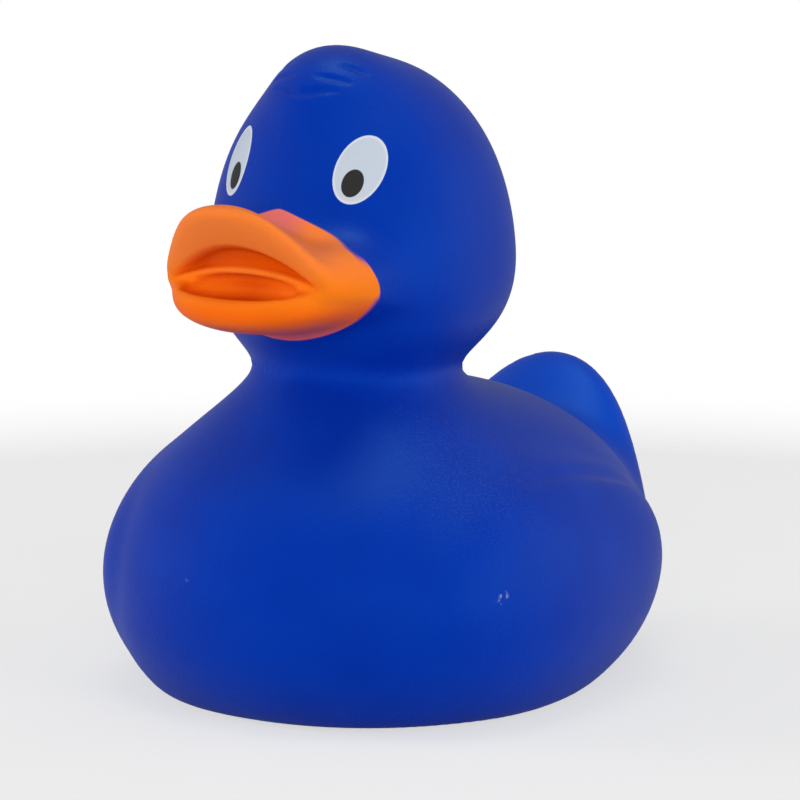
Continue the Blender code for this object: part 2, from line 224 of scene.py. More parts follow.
# moving the net's points onto the surface: rounds, longest move as a share of a cell, probe and least slope
SETTLE_ROUNDS = 4
SETTLE_SHARE = 0.3
SETTLE_PROBE = 1e-5
SETTLE_SLOPE = 0.05


def blend(a, b, reach):
    """Rounded union of two distance fields."""
    h = np.maximum(reach - np.abs(a - b), 0.0) / reach
    return np.minimum(a, b) - h ** 3 * reach / 6.0


def meet(a, b, reach):
    """Rounded intersection of two distance fields."""
    return -blend(-a, -b, reach)


def ramp(t, reach):
    s = np.clip(0.5 + 0.5 * t / reach, 0.0, 1.0)
    return s * s * (3.0 - 2.0 * s)


def egg(x, y, z, side, front, back, up, down, power=2.0, taper=0.0):
    """Egg around the origin, with its own reach to each side."""
    width = front + (back - front) * ramp(y, 0.3 * (front + back))
    height = down + (up - down) * ramp(z, 0.3 * (up + down))
    narrow = 1.0 - taper * np.clip(z / height, -1.5, 1.5)
    a = np.abs(x / (side * narrow)) ** power
    b = np.abs(y / (width * narrow)) ** power
    c = np.abs(z / height) ** power
    k = (a + b + c) ** (1.0 / power) + 1e-9
    return np.sqrt(x * x + y * y + z * z) * (1.0 - 1.0 / k)


def turned(y, z, degrees):
    c = math.cos(math.radians(degrees))
    s = math.sin(math.radians(degrees))
    return y * c + z * s, z * c - y * s


def trunk(x, y, z):
    """Body, neck and head."""
    body = egg(x, y - BODY_Y, z - BODY_Z, BODY_SIDE, BODY_FRONT, BODY_BACK, BODY_UP, BODY_DOWN, BODY_POWER)
    neck = egg(x, y - NECK_Y, z - NECK_Z, NECK_RADIUS, NECK_RADIUS, NECK_RADIUS, NECK_REACH, NECK_REACH)
    reach = (HEAD_SIDE, HEAD_FRONT, HEAD_BACK, HEAD_UP, HEAD_DOWN)
    head = egg(x, y - HEAD_Y, z - HEAD_Z, *reach, HEAD_POWER, HEAD_TAPER)
    return blend(blend(body, neck, NECK_BODY_BLEND), head, NECK_HEAD_BLEND)


def tail(x, y, z):
    along, across = turned(y - TAIL_Y, z - TAIL_Z, TAIL_TILT)
    return egg(x, along, across, TAIL_SIDE, TAIL_LENGTH, TAIL_LENGTH, TAIL_THICK, TAIL_THICK)


def wings(x, y, z):
    along, across = turned(y - WING_Y, z - WING_Z, WING_TILT)
    reach = (WING_SIDE, WING_LENGTH, WING_LENGTH, WING_HEIGHT, WING_HEIGHT)
    return egg(np.abs(x) - WING_X, along, across, *reach)


def tuft(x, y, z):
    return egg(x, y - TUFT_Y, z - TUFT_Z, TUFT_SIDE, TUFT_REACH, TUFT_REACH, TUFT_REACH, TUFT_REACH)


def leaf(x, y, z, ends, widest):
    """Distance to the line between the ends, and how full the leaf around it is at that place."""
    first = np.array(ends[0])
    span = np.array(ends[1]) - first
    offset = np.stack([x - first[0], y - first[1], z - first[2]], axis=-1)
    along = np.clip(offset @ span / (span @ span), 0.0, 1.0)
    away = np.linalg.norm(offset - along[..., None] * span, axis=-1)
    reach = np.where(along < widest, max(widest, 0.01), 1.0 - widest)
    return away, 1.0 - ((along - widest) / reach) ** 2


def dented(f, x, y, z):
    """Field with the leaf shaped dents of the tuft."""
    leaves = (
        (FRONT_LEAF, FRONT_LEAF_WIDTH, FRONT_LEAF_WIDEST),
        (MIDDLE_LEAF, MIDDLE_LEAF_WIDTH, SIDE_LEAF_WIDEST),
        (TOP_LEAF, TOP_LEAF_WIDTH, SIDE_LEAF_WIDEST),
    )
    for ends, width, widest in leaves:
        away, full = leaf(np.abs(x), y - TUFT_Y, z - TUFT_Z, ends, widest)
        f = pressed(f, away - width * full, LEAF_DEPTH, LEAF_EDGE)
    return f


def plumage(x, y, z):
    """Everything of the body but the bill."""
    f = dented(blend(trunk(x, y, z), tuft(x, y, z), TUFT_BLEND), x, y, z)
    f = blend(f, tail(x, y, z), TAIL_BLEND)
    softness = WING_BLEND + (WING_FRONT_BLEND - WING_BLEND) * ramp(WING_Y - y, 0.6 * WING_LENGTH)
    f = blend(f, wings(x, y, z), softness)
    away, full = leaf(np.abs(x) - WING_X, y - WING_Y, z - WING_Z, WING_CREASE, WING_CREASE_WIDEST)
    f = pressed(f, away - WING_CREASE_WIDTH, WING_CREASE_DEPTH * full, WING_CREASE_EDGE)
    return meet(f, -z, BASE_ROUNDING)


def cheeks(x, y, z):
    reach = (CHEEK_SIDE, CHEEK_FRONT, CHEEK_BACK, CHEEK_UP, CHEEK_DOWN)
    return egg(x, y - CHEEK_Y, z - CHEEK_Z, *reach, BILL_POWER)


def upper_bill(x, y, z):
    """Arched plate that tips up: a face under the rim and a top behind it."""
    rim_y = RIM_Y + RIM_BACK * x * x
    rim_z = RIM_Z - RIM_DROP * x * x
    below = np.clip((rim_z - z) / FACE_HEIGHT, 0.0, 1.0)
    face = rim_y + FACE_SLOPE * (rim_z - z) - FACE_BULGE * np.sin(math.pi * below)
    top = rim_z - TOP_SLOPE * (y - rim_y)
    front_side = (face - y) / np.sqrt(1.0 + FACE_SLOPE ** 2 + (1.4 * RIM_BACK * x) ** 2)
    top_side = (z - top) / np.sqrt(1.0 + TOP_SLOPE ** 2 + (2.0 * RIM_DROP * x) ** 2)
    f = meet(front_side, top_side, RIM_ROUNDING)
    f = meet(f, UPPER_LOW - z, 0.5 * RIM_ROUNDING)
    reach = (UPPER_SIDE, UPPER_FRONT, UPPER_BACK, UPPER_UP, UPPER_DOWN)
    ends = egg(x, y - UPPER_Y, z - UPPER_Z, *reach, BILL_POWER)
    return meet(f, ends, UPPER_ROUNDING)


def lower_bill(x, y, z):
    level = z - LIP_Z - LIP_BEND * x * x
    return egg(x, y - LIP_Y, level, LIP_SIDE, LIP_FRONT, LIP_BACK, LIP_UP, LIP_DOWN, LIP_POWER)


def corners(x, y, z):
    """Bulge at each corner of the mouth."""
    reach = (CORNER_SIDE, CORNER_FRONT, CORNER_FRONT, CORNER_UP, CORNER_UP)
    return egg(np.abs(x) - CORNER_X, y - CORNER_Y, z - CORNER_Z, *reach)


def pressed(f, inside, depth, edge):
    """Field with its surface pushed in by the depth where the inside is negative."""
    t = np.clip(0.5 - inside / edge, 0.0, 1.0)
    return f + depth * t * t * (3.0 - 2.0 * t)


def grooved(f, x, y, z):
    """Field with the groove of the upper bill, which is deepest under its upper arch."""
    arch = 1.0 - (x / GROOVE_HALF) ** 2
    upper = GROOVE_Z + GROOVE_TOP * arch
    lower = GROOVE_Z + GROOVE_LOW * arch
    inside = meet(z - upper, lower - z, 0.7 * GROOVE_EDGE)
    inside = np.where(y < HEAD_Y, inside, GROOVE_EDGE)
    share = np.clip((z - lower) / np.maximum(upper - lower, 0.2 * GROOVE_EDGE), 0.0, 1.0)
    return pressed(f, inside, GROOVE_DEPTH * (0.5 + 0.5 * share), GROOVE_EDGE)


def mouth_dish(x, y, z):
    level = z - MOUTH_Z + MOUTH_BEND * x * x
    reach = (MOUTH_SIDE, MOUTH_REACH, MOUTH_REACH, MOUTH_UP, MOUTH_DOWN)
    return egg(x, y - MOUTH_Y, level, *reach, BILL_POWER)


def duck(x, y, z):
    """Outside of the whole duck."""
    bill = blend(upper_bill(x, y, z), lower_bill(x, y, z), LIP_BLEND)
    bill = blend(bill, corners(x, y, z), CORNER_BLEND)
    f = blend(plumage(x, y, z), cheeks(x, y, z), CHEEK_BLEND)
    f = grooved(blend(f, bill, BILL_BLEND), x, y, z)
    reach = (CORE_SIDE, CORE_FRONT, CORE_FRONT, CORE_HEIGHT, CORE_HEIGHT)
    core = egg(x, y - CORE_Y, z - CORE_Z, *reach, BILL_POWER)
    return meet(blend(f, core, CORE_BLEND), -mouth_dish(x, y, z), MOUTH_ROUNDING)


def steps(low, high, fine_low, fine_high, coarse, fine):
    """Grid lines from low to high, closer together in the middle part."""
    first = np.linspace(low, fine_low, max(2, round((fine_low - low) / coarse) + 1))
    middle = np.linspace(fine_low, fine_high, max(2, round((fine_high - fine_low) / fine) + 1))
    last = np.linspace(fine_high, high, max(2, round((high - fine_high) / coarse) + 1))
    return np.unique(np.concatenate([first, middle, last]))


def sampled(field, lines):
    """Field on the grid, worked out exactly near the surface and roughly elsewhere."""
    rough_lines = [line[::BLOCK] for line in lines]
    rough = field(*np.meshgrid(*rough_lines, indexing="ij"))
    reach = BLOCK_REACH * BLOCK * COARSE_CELL * math.sqrt(3.0)
    near = np.abs(rough) < reach
    value = rough
    for axis, line in enumerate(lines):
        pick = np.minimum(np.arange(len(line)) // BLOCK, len(rough_lines[axis]) - 1)
        value = np.take(value, pick, axis=axis)
        near = np.take(near, pick, axis=axis)
    at = np.nonzero(near)
    value[at] = field(*(line[k] for line, k in zip(lines, at)))
    return value


def softened(value):
    """Grid values without detail finer than a cell, so that the net stays a clean surface."""
    for axis in range(3):
        wide = np.moveaxis(np.pad(value, 1, mode="edge"), axis, 0)
        value = np.moveaxis(0.25 * wide[:-2] + 0.5 * wide[1:-1] + 0.25 * wide[2:], 0, axis)
        trim = tuple(slice(None) if k == axis else slice(1, -1) for k in range(3))
        value = value[trim]
    return value


def surface_net(field, lines):
    """Closed quad mesh of the surface where the field is zero."""
    value = softened(sampled(field, lines))
    inside = value < 0.0
    cells = tuple(n - 1 for n in value.shape)
    total = np.zeros((cells[0] * cells[1] * cells[2], 3))
    count = np.zeros(len(total))
    quads = []
    for axis in range(3):
        low = tuple(slice(None, -1) if k == axis else slice(None) for k in range(3))
        high = tuple(slice(1, None) if k == axis else slice(None) for k in range(3))
        at = np.argwhere(inside[low] != inside[high])
        edge = tuple(at.T)
        share = value[low][edge] / (value[low][edge] - value[high][edge])
        point = np.stack([line[k] for line, k in zip(lines, edge)], axis=1)
        point[:, axis] += share * (lines[axis][edge[axis] + 1] - lines[axis][edge[axis]])
        u = np.eye(3, dtype=int)[(axis + 1) % 3]
        v = np.eye(3, dtype=int)[(axis + 2) % 3]
        corners = [at - u - v, at - v, at, at - u]
        around = [np.ravel_multi_index(tuple(corner.T), cells) for corner in corners]
        for cell in around:
            np.add.at(total, cell, point)
            np.add.at(count, cell, 1)
        ring = np.stack(around, axis=1)
        outward = inside[low][edge]
        ring[~outward] = ring[~outward][:, ::-1]
        quads.append(ring)
    used = np.flatnonzero(count)
    number = np.full(len(total), -1)
    number[used] = np.arange(len(used))
    return total[used] / count[used][:, None], number[np.concatenate(quads)]


def settled(field, points, cell):
    """Points moved onto the surface of the field."""
    probe = SETTLE_PROBE
    for _ in range(SETTLE_ROUNDS):
        x, y, z = points.T
        f = field(x, y, z)
        slope = np.stack([
            field(x + probe, y, z) - field(x - probe, y, z),
            field(x, y + probe, z) - field(x, y - probe, z),
            field(x, y, z + probe) - field(x, y, z - probe),
        ], axis=1) / (2.0 * probe)
        move = -f[:, None] * slope / np.maximum((slope ** 2).sum(axis=1), SETTLE_SLOPE)[:, None]
        length = np.maximum(np.linalg.norm(move, axis=1), 1e-12)
        points = points + move * np.minimum(1.0, SETTLE_SHARE * cell / length)[:, None]
    return points


def mesh_object(name, points, faces):
    mesh = bpy.data.meshes.new(name)
    mesh.vertices.add(len(points))
    mesh.vertices.foreach_set("co", points.ravel())
    mesh.loops.add(faces.size)
    mesh.loops.foreach_set("vertex_index", faces.ravel())
    mesh.polygons.add(len(faces))
    mesh.polygons.foreach_set("loop_start", np.arange(0, faces.size, 4))
    mesh.update(calc_edges=True)
    mesh.shade_smooth()
    body = bpy.data.objects.new(name, mesh)
    bpy.context.scene.collection.objects.link(body)
    return body


def outer_lines():
    half = max(BODY_SIDE, WING_X + WING_SIDE) + MARGIN
    front = min(RIM_Y, BODY_Y - BODY_FRONT) - MARGIN
    back = TAIL_Y + TAIL_LENGTH
    top = max(HEAD_Z + HEAD_UP, TUFT_Z + TUFT_REACH) + MARGIN
    right = steps(0.0, half, 0.0, UPPER_SIDE + MARGIN, COARSE_CELL, FINE_CELL)
    return [
        np.concatenate([-right[::-1], right[1:]]),
        steps(front, back, front + FINE_CELL, TUFT_Y, COARSE_CELL, FINE_CELL),
        steps(-MARGIN, top, LIP_Z - 2.0 * MARGIN, top - FINE_CELL, COARSE_CELL, FINE_CELL),
    ]


def bore_cutter():
    """Stepped round solid that makes the seat of the squeaker."""
    profile = [(0.0, BORE_TOP), (BORE_STEM, BORE_TOP), (BORE_STEM, BORE_SEAT), (BORE_MOUTH, BORE_SEAT)]
    profile += [(BORE_MOUTH, -MARGIN), (0.0, -MARGIN)]
    mesh = bpy.data.meshes.new("bore")
    mesh.from_pydata([(r, 0.0, z) for r, z in profile], [(k, k + 1) for k in range(len(profile) - 1)], [])
    cutter = bpy.data.objects.new("bore", mesh)
    cutter.location = (0.0, BORE_Y, 0.0)
    bpy.context.scene.collection.objects.link(cutter)
    screw = cutter.modifiers.new("Turn", "SCREW")
    screw.angle = math.tau
    screw.steps = TURN_STEPS
    screw.render_steps = TURN_STEPS
    screw.use_merge_vertices = True
    screw.merge_threshold = 1e-5
    return cutter


def with_bore(skin):
    cutter = bore_cutter()
    cut = skin.modifiers.new("Bore", "BOOLEAN")
    cut.operation = "DIFFERENCE"
    cut.solver = "EXACT"
    cut.object = cutter
    depsgraph = bpy.context.evaluated_depsgraph_get()
    mesh = bpy.data.meshes.new_from_object(skin.evaluated_get(depsgraph))
    skin.modifiers.clear()
    skin.data = mesh
    bpy.data.objects.remove(cutter)


def make_skin():
    """Finely meshed outside of the duck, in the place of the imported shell."""
    points, faces = surface_net(duck, outer_lines())
    skin = mesh_object("vinyl_skin", settled(duck, points, FINE_CELL), faces)
    with_bore(skin)
    return skin


class Graph:
    """Short names for the shader nodes that the finishes are made of."""

    def __init__(self, name):
        self.material = bpy.data.materials.new(name)
        self.material.use_nodes = True
        self.tree = self.material.node_tree
        self.shader = self.tree.nodes["Principled BSDF"]
        coordinates = self.tree.nodes.new("ShaderNodeTexCoord")
        self.place = coordinates.outputs["Object"]

    def fill(self, socket, value):
        if isinstance(value, bpy.types.NodeSocket):
            self.tree.links.new(value, socket)
        else:
            socket.default_value = value

    def number(self, operation, *values):
        node = self.tree.nodes.new("ShaderNodeMath")
        node.operation = operation
        for socket, value in zip(node.inputs, values):
            self.fill(socket, value)
        return node.outputs[0]

    def vector(self, operation, *values):
        node = self.tree.nodes.new("ShaderNodeVectorMath")
        node.operation = operation
        for socket, value in zip(node.inputs, values):
            self.fill(socket, value)
        return node.outputs["Value" if operation in ("DOT_PRODUCT", "LENGTH") else "Vector"]

    def parts(self, vector):
        node = self.tree.nodes.new("ShaderNodeSeparateXYZ")
        self.fill(node.inputs[0], vector)
        return node.outputs[:3]

    def joined(self, x, y, z):
        node = self.tree.nodes.new("ShaderNodeCombineXYZ")
        for socket, value in zip(node.inputs, (x, y, z)):
            self.fill(socket, value)
        return node.outputs[0]

    def rise(self, value, low, high):
        """Smooth step from 0 at low to 1 at high."""
        node = self.tree.nodes.new("ShaderNodeMapRange")
        node.interpolation_type = "SMOOTHSTEP"
        self.fill(node.inputs["Value"], value)
        node.inputs["From Min"].default_value = low
        node.inputs["From Max"].default_value = high
        return node.outputs["Result"]

    def noise(self, scale, detail):
        node = self.tree.nodes.new("ShaderNodeTexNoise")
        self.fill(node.inputs["Vector"], self.place)
        node.inputs["Scale"].default_value = scale
        node.inputs["Detail"].default_value = detail
        return node.outputs["Fac"]

    def mixed(self, share, first, second):
        """Colour between first and second."""
        node = self.tree.nodes.new("ShaderNodeMix")
        node.data_type = "RGBA"
        self.fill(node.inputs[0], share)
        self.fill(node.inputs[6], (*first, 1.0) if isinstance(first, tuple) else first)
        self.fill(node.inputs[7], (*second, 1.0) if isinstance(second, tuple) else second)
        return node.outputs[2]

    def blended(self, share, first, second):
        """Number between first and second."""
        node = self.tree.nodes.new("ShaderNodeMix")
        self.fill(node.inputs[0], share)
        self.fill(node.inputs[2], first)
        self.fill(node.inputs[3], second)
        return node.outputs[0]

    def bump(self, height, distance):
        node = self.tree.nodes.new("ShaderNodeBump")
        node.inputs["Distance"].default_value = distance
        node.inputs["Strength"].default_value = 1.0
        self.fill(node.inputs["Height"], height)
        return node.outputs["Normal"]


# colours in linear light
VINYL = (0.0, 0.0235, 0.342)
VINYL_LIGHT = (0.0, 0.029, 0.376)
# painted light: the paler blue of the tail's tip
VINYL_TAIL_LIT = (0.0, 0.052, 0.510)
PAINT = (0.92, 0.194, 0.008)
# painted sheen: the paler orange of the upper bill
PAINT_SHEEN = (0.93, 0.215, 0.035)
# painted light: the redder orange of the bill's underside
PAINT_LOW_LIT = (0.94, 0.140, 0.004)
# deeper orange of the groove and the mouth's dish: partly deeper paint, partly painted shade
PAINT_DEEP_AND_SHADE = (0.68, 0.075, 0.0)
MOUTH_DEEP_AND_SHADE = (0.60, 0.052, 0.0)
EYE_WHITE = (0.54, 0.61, 0.70)
EYE_RIM = (0.66, 0.72, 0.78)
PUPIL = (0.006, 0.005, 0.006)
# pale colour of the rubbed marks, and of the painted glints on the shoulder's grain
PALE_MARK_AND_GLINT = (0.66, 0.72, 0.78)
PLUG_DARK = (0.66, 0.66, 0.63)
PLUG_PALE = (0.78, 0.78, 0.76)

# tint of the highlights, their strength and the roughness
VINYL_GLOSS = (0.12, 0.60, 0.95)
PAINT_GLOSS = (1.0, 0.50, 0.10)
EYE_GLOSS = (1.0, 1.0, 1.0)
VINYL_SPECULAR = 0.35
VINYL_ROUGHNESS = (0.40, 0.50)
EYE_ROUGHNESS = 0.30
PLUG_ROUGHNESS = (0.35, 0.50)

# fine skin of the mouldings: scale of its noise, and how high it stands
VINYL_SKIN_SCALE = 2600.0
VINYL_SKIN_HEIGHT = 0.00005
PLUG_SKIN_SCALE = 1500.0
PLUG_SKIN_HEIGHT = 0.00003

# faint clouds in the blue
MOTTLE_SCALE = 90.0
MOTTLE_RANGE = (0.3, 0.7)

# A pair of places under a name below is where a change starts and where it is complete.

# painted light: where the blue turns paler towards the tip of the tail
TAIL_LIGHT_Y = (0.026, 0.036)
TAIL_LIGHT_Z = (0.022, 0.031)

# colour of the paint where it is thin, its share, and the places between which that fades
THIN_PAINT = (0.58, 0.12, 0.30)
THIN_VALLEY = 0.46
THIN_VALLEY_Y = (-0.0245, -0.0215)
THIN_VALLEY_Z = (0.0590, 0.0615)
THIN_VALLEY_SIDE = (0.0062, 0.0010)
THIN_UNDER = 0.42
THIN_UNDER_Z = (0.0512, 0.0482)

# the paint turns paler upwards as a painted sheen, redder downwards as painted light, and deeper in the two
# recesses of the bill's front, partly from deeper paint and partly as painted shade
PAINT_SHEEN_Z = (0.0550, 0.0590)
PAINT_LOW_LIT_Z = (0.0545, 0.0515)
RECESS_Y = (-0.0215, -0.0225)
GROOVE_FADE = (-0.0004, 0.0003)
MOUTH_FADE = (-0.10, 0.06)

# how sharply the paint, the print and the rim of the eyes end
PAINT_FADE = (-0.00005, 0.00012)
PRINT_FADE = (-0.00004, 0.00004)
EYE_RIM_FADE = (0.00010, 0.00035)

# rubbed marks, each with its middle and its reach
SPECKS = (
    ((0.0305, -0.0161, 0.0175), 0.0010),
    ((0.0302, -0.0168, 0.0168), 0.0009),
    ((-0.0054, -0.0330, 0.0184), 0.0004),
    ((-0.0123, -0.0312, 0.0081), 0.0004),
)
SPECK_SCALE = 1300.0
SPECK_RANGE = (0.50, 0.62)
SPECK_CORE = 0.2
SPECK_SHARE = 0.35

# fine grain on the shoulder, its pale dots painted in as painted highlights where light catches the vinyl's
# grain
GRAIN_GLINT_MIDDLE = (0.0230, -0.0090, 0.0335)
GRAIN_GLINT_REACH = 0.0200
GRAIN_GLINT_SCALE = 6000.0
GRAIN_GLINT_RANGE = (0.60, 0.72)
GRAIN_GLINT_CORE = 0.2
GRAIN_GLINT_SHARE = 0.035

# edge of the paint on the face, seen from the front
PAINT_Z = 0.0554
PAINT_SIDE = 0.0140
PAINT_UP = 0.0086
PAINT_UP_POWER = 2.2
PAINT_DOWN = 0.0081
PAINT_DOWN_POWER = 1.8
PAINT_TOP_POWER = 0.88
PAINT_LOW_POWER = 1.5
PAINT_ROUNDING = 0.0010
PAINT_BACK = -0.01875
PAINT_BACK_SLOPE = 0.05
PAINT_BACK_RISE = 0.455
PAINT_BACK_Z = 0.0549
PAINT_BACK_ROUNDING = 0.0010
PAINT_BACK_SIDE = (0.0080, 0.0120)
PAINT_FRONT = -0.0221
PAINT_FRONT_LOW = 0.0465

# whites of the left and the right eye and their pupils: middle, long axis, cross axis and both half sizes
EYES = (
    ((0.00929, -0.01627, 0.06903), (0.203, 0.498, 0.843), (0.852, 0.335, -0.403), 0.00469, 0.00306),
    ((-0.00916, -0.01635, 0.06923), (0.045, 0.389, 0.920), (0.878, -0.454, 0.149), 0.00468, 0.00250),
)
PUPILS = (
    ((0.00893, -0.01744, 0.06742), (0.198, 0.418, 0.887), (0.877, 0.329, -0.351), 0.00183, 0.00134),
    ((-0.00898, -0.01743, 0.06743), (0.065, 0.305, 0.950), (0.895, -0.439, 0.079), 0.00179, 0.00115),
)

# how far from its middle an oval can be printed, in half lengths, so that it doesn't show behind the head
OVAL_REACH = 1.5


def oval(graph, place, middle, long_axis, cross_axis, half_long, half_cross):
    """Distance inside the edge of an oval printed on the side of the head."""
    offset = graph.vector("SUBTRACT", place, middle)
    along = graph.number("DIVIDE", graph.vector("DOT_PRODUCT", offset, long_axis), half_long)
    across = graph.number("DIVIDE", graph.vector("DOT_PRODUCT", offset, cross_axis), half_cross)
    inward = graph.number("SUBTRACT", 1.0, graph.vector("LENGTH", graph.joined(along, across, 0.0)))
    near = graph.number("LESS_THAN", graph.vector("LENGTH", offset), OVAL_REACH * half_long)
    return graph.blended(near, -1.0, graph.number("MULTIPLY", inward, half_cross))


def ovals(graph, place, pair):
    first, second = (oval(graph, place, *sizes) for sizes in pair)
    return graph.number("MAXIMUM", first, second)


def paint_edge(graph, side, y, z):
    """Distance inside the edge of the bill's paint."""
    across = graph.vector("LENGTH", graph.joined(side, PAINT_ROUNDING, 0.0))
    across = graph.number("DIVIDE", graph.number("SUBTRACT", across, PAINT_ROUNDING), PAINT_SIDE)
    above = graph.number("DIVIDE", graph.number("SUBTRACT", z, PAINT_Z), PAINT_UP)
    below = graph.number("DIVIDE", graph.number("SUBTRACT", PAINT_Z, z), PAINT_DOWN)
    top = graph.number("POWER", graph.number("MAXIMUM", above, 0.0), PAINT_UP_POWER)
    top = graph.number("ADD", top, graph.number("POWER", across, PAINT_TOP_POWER))
    low = graph.number("POWER", graph.number("MAXIMUM", below, 0.0), PAINT_DOWN_POWER)
    low = graph.number("ADD", low, graph.number("POWER", across, PAINT_LOW_POWER))
    level = graph.blended(graph.number("GREATER_THAN", z, PAINT_Z), low, top)
    face = graph.number("MULTIPLY", graph.number("SUBTRACT", 1.0, level), 0.5 * PAINT_DOWN)
    back = graph.number("MULTIPLY_ADD", side, -PAINT_BACK_SLOPE, PAINT_BACK)
    slant = graph.number("SUBTRACT", z, PAINT_BACK_Z)
    rounded = graph.vector("LENGTH", graph.joined(slant, PAINT_BACK_ROUNDING, 0.0))
    slant = graph.number("ADD", slant, rounded)
    slant = graph.number("MULTIPLY", slant, graph.rise(side, *PAINT_BACK_SIDE))
    back = graph.number("MULTIPLY_ADD", slant, -0.5 * PAINT_BACK_RISE, back)
    face = graph.number("MINIMUM", face, graph.number("SUBTRACT", back, y))
    front = graph.number("SUBTRACT", PAINT_FRONT, y)
    front = graph.number("MINIMUM", front, graph.number("SUBTRACT", z, PAINT_FRONT_LOW))
    return graph.number("MAXIMUM", face, front)


def groove_depth(graph, x, z):
    """Distance inside the two arches of the groove."""
    arch = graph.number("SUBTRACT", 1.0, graph.number("POWER", graph.number("DIVIDE", x, GROOVE_HALF), 2.0))
    upper = graph.number("MULTIPLY_ADD", arch, GROOVE_TOP, GROOVE_Z)
    lower = graph.number("MULTIPLY_ADD", arch, GROOVE_LOW, GROOVE_Z)
    return graph.number("MINIMUM", graph.number("SUBTRACT", upper, z), graph.number("SUBTRACT", z, lower))


def dish_depth(graph, x, y, z):
    """How far inside the dish of the mouth a point lies, as a share of the dish's reach."""
    level = graph.number("MULTIPLY_ADD", graph.number("POWER", x, 2.0), MOUTH_BEND, z)
    across = graph.number("DIVIDE", x, MOUTH_SIDE)
    along = graph.number("DIVIDE", graph.number("SUBTRACT", y, MOUTH_Y), MOUTH_REACH)
    above = graph.number("DIVIDE", graph.number("SUBTRACT", level, MOUTH_Z), MOUTH_UP)
    size = graph.vector("LENGTH", graph.joined(across, along, above))
    return graph.number("SUBTRACT", 1.0, size)


def thin_paint(graph, side, y, z):
    """Share of the thin paint's colour: in the valley behind the rim and under the bill."""
    valley = graph.rise(y, *THIN_VALLEY_Y)
    valley = graph.number("MULTIPLY", valley, graph.rise(z, *THIN_VALLEY_Z))
    valley = graph.number("MULTIPLY", valley, graph.rise(side, *THIN_VALLEY_SIDE))
    valley = graph.number("MULTIPLY", valley, THIN_VALLEY)
    under = graph.number("MULTIPLY", graph.rise(z, *THIN_UNDER_Z), THIN_UNDER)
    return graph.number("MAXIMUM", valley, under)


def specks(graph, place):
    """Small pale marks rubbed into the vinyl."""
    grain = graph.noise(SPECK_SCALE, 2.0)
    total = None
    for middle, reach in SPECKS:
        near = graph.vector("LENGTH", graph.vector("SUBTRACT", place, middle))
        near = graph.rise(near, reach, SPECK_CORE * reach)
        mark = graph.number("MULTIPLY", near, graph.rise(grain, *SPECK_RANGE))
        total = mark if total is None else graph.number("MAXIMUM", total, mark)
    return graph.number("MULTIPLY", total, SPECK_SHARE)


def shoulder_grain_glints(graph, place):
    """Painted glints on the vinyl's grain: fine pale grains that thin out around the middle of the
    shoulder.
    """
    near = graph.vector("LENGTH", graph.vector("SUBTRACT", place, GRAIN_GLINT_MIDDLE))
    near = graph.rise(near, GRAIN_GLINT_REACH, GRAIN_GLINT_CORE * GRAIN_GLINT_REACH)
    dots = graph.rise(graph.noise(GRAIN_GLINT_SCALE, 0.0), *GRAIN_GLINT_RANGE)
    return graph.number("MULTIPLY", graph.number("MULTIPLY", near, dots), GRAIN_GLINT_SHARE)


def blue_vinyl(graph, place, y, z):
    """The vinyl's blue, with painted light that makes the tail paler, its rubbed marks and painted glints
    on the shoulder's grain.
    """
    mottle = graph.noise(MOTTLE_SCALE, 3.0)
    blue = graph.mixed(graph.rise(mottle, *MOTTLE_RANGE), VINYL, VINYL_LIGHT)
    # painted light: the tail's tip turns paler
    tip = graph.number("MULTIPLY", graph.rise(y, *TAIL_LIGHT_Y), graph.rise(z, *TAIL_LIGHT_Z))
    blue = graph.mixed(tip, blue, VINYL_TAIL_LIT)
    blue = graph.mixed(specks(graph, place), blue, PALE_MARK_AND_GLINT)
    # painted highlights: pale glints on the shoulder's grain
    return graph.mixed(shoulder_grain_glints(graph, place), blue, PALE_MARK_AND_GLINT)


def orange_paint(graph, side, y, z):
    """The bill's orange, which changes with the height as a painted sheen above and painted light below, in
    the recesses as deeper paint and painted shade, and where the paint is thin.
    """
    # painted sheen: paler orange higher up
    orange = graph.mixed(graph.rise(z, *PAINT_SHEEN_Z), PAINT, PAINT_SHEEN)
    # painted light: redder orange lower down
    orange = graph.mixed(graph.rise(z, *PAINT_LOW_LIT_Z), orange, PAINT_LOW_LIT)
    front = graph.rise(y, *RECESS_Y)
    groove = graph.rise(groove_depth(graph, side, z), *GROOVE_FADE)
    # deeper paint and painted shade in the groove
    orange = graph.mixed(graph.number("MULTIPLY", groove, front), orange, PAINT_DEEP_AND_SHADE)
    mouth = graph.rise(dish_depth(graph, side, y, z), *MOUTH_FADE)
    # deeper paint and painted shade in the mouth's dish
    orange = graph.mixed(graph.number("MULTIPLY", mouth, front), orange, MOUTH_DEEP_AND_SHADE)
    return graph.mixed(thin_paint(graph, side, y, z), orange, THIN_PAINT)


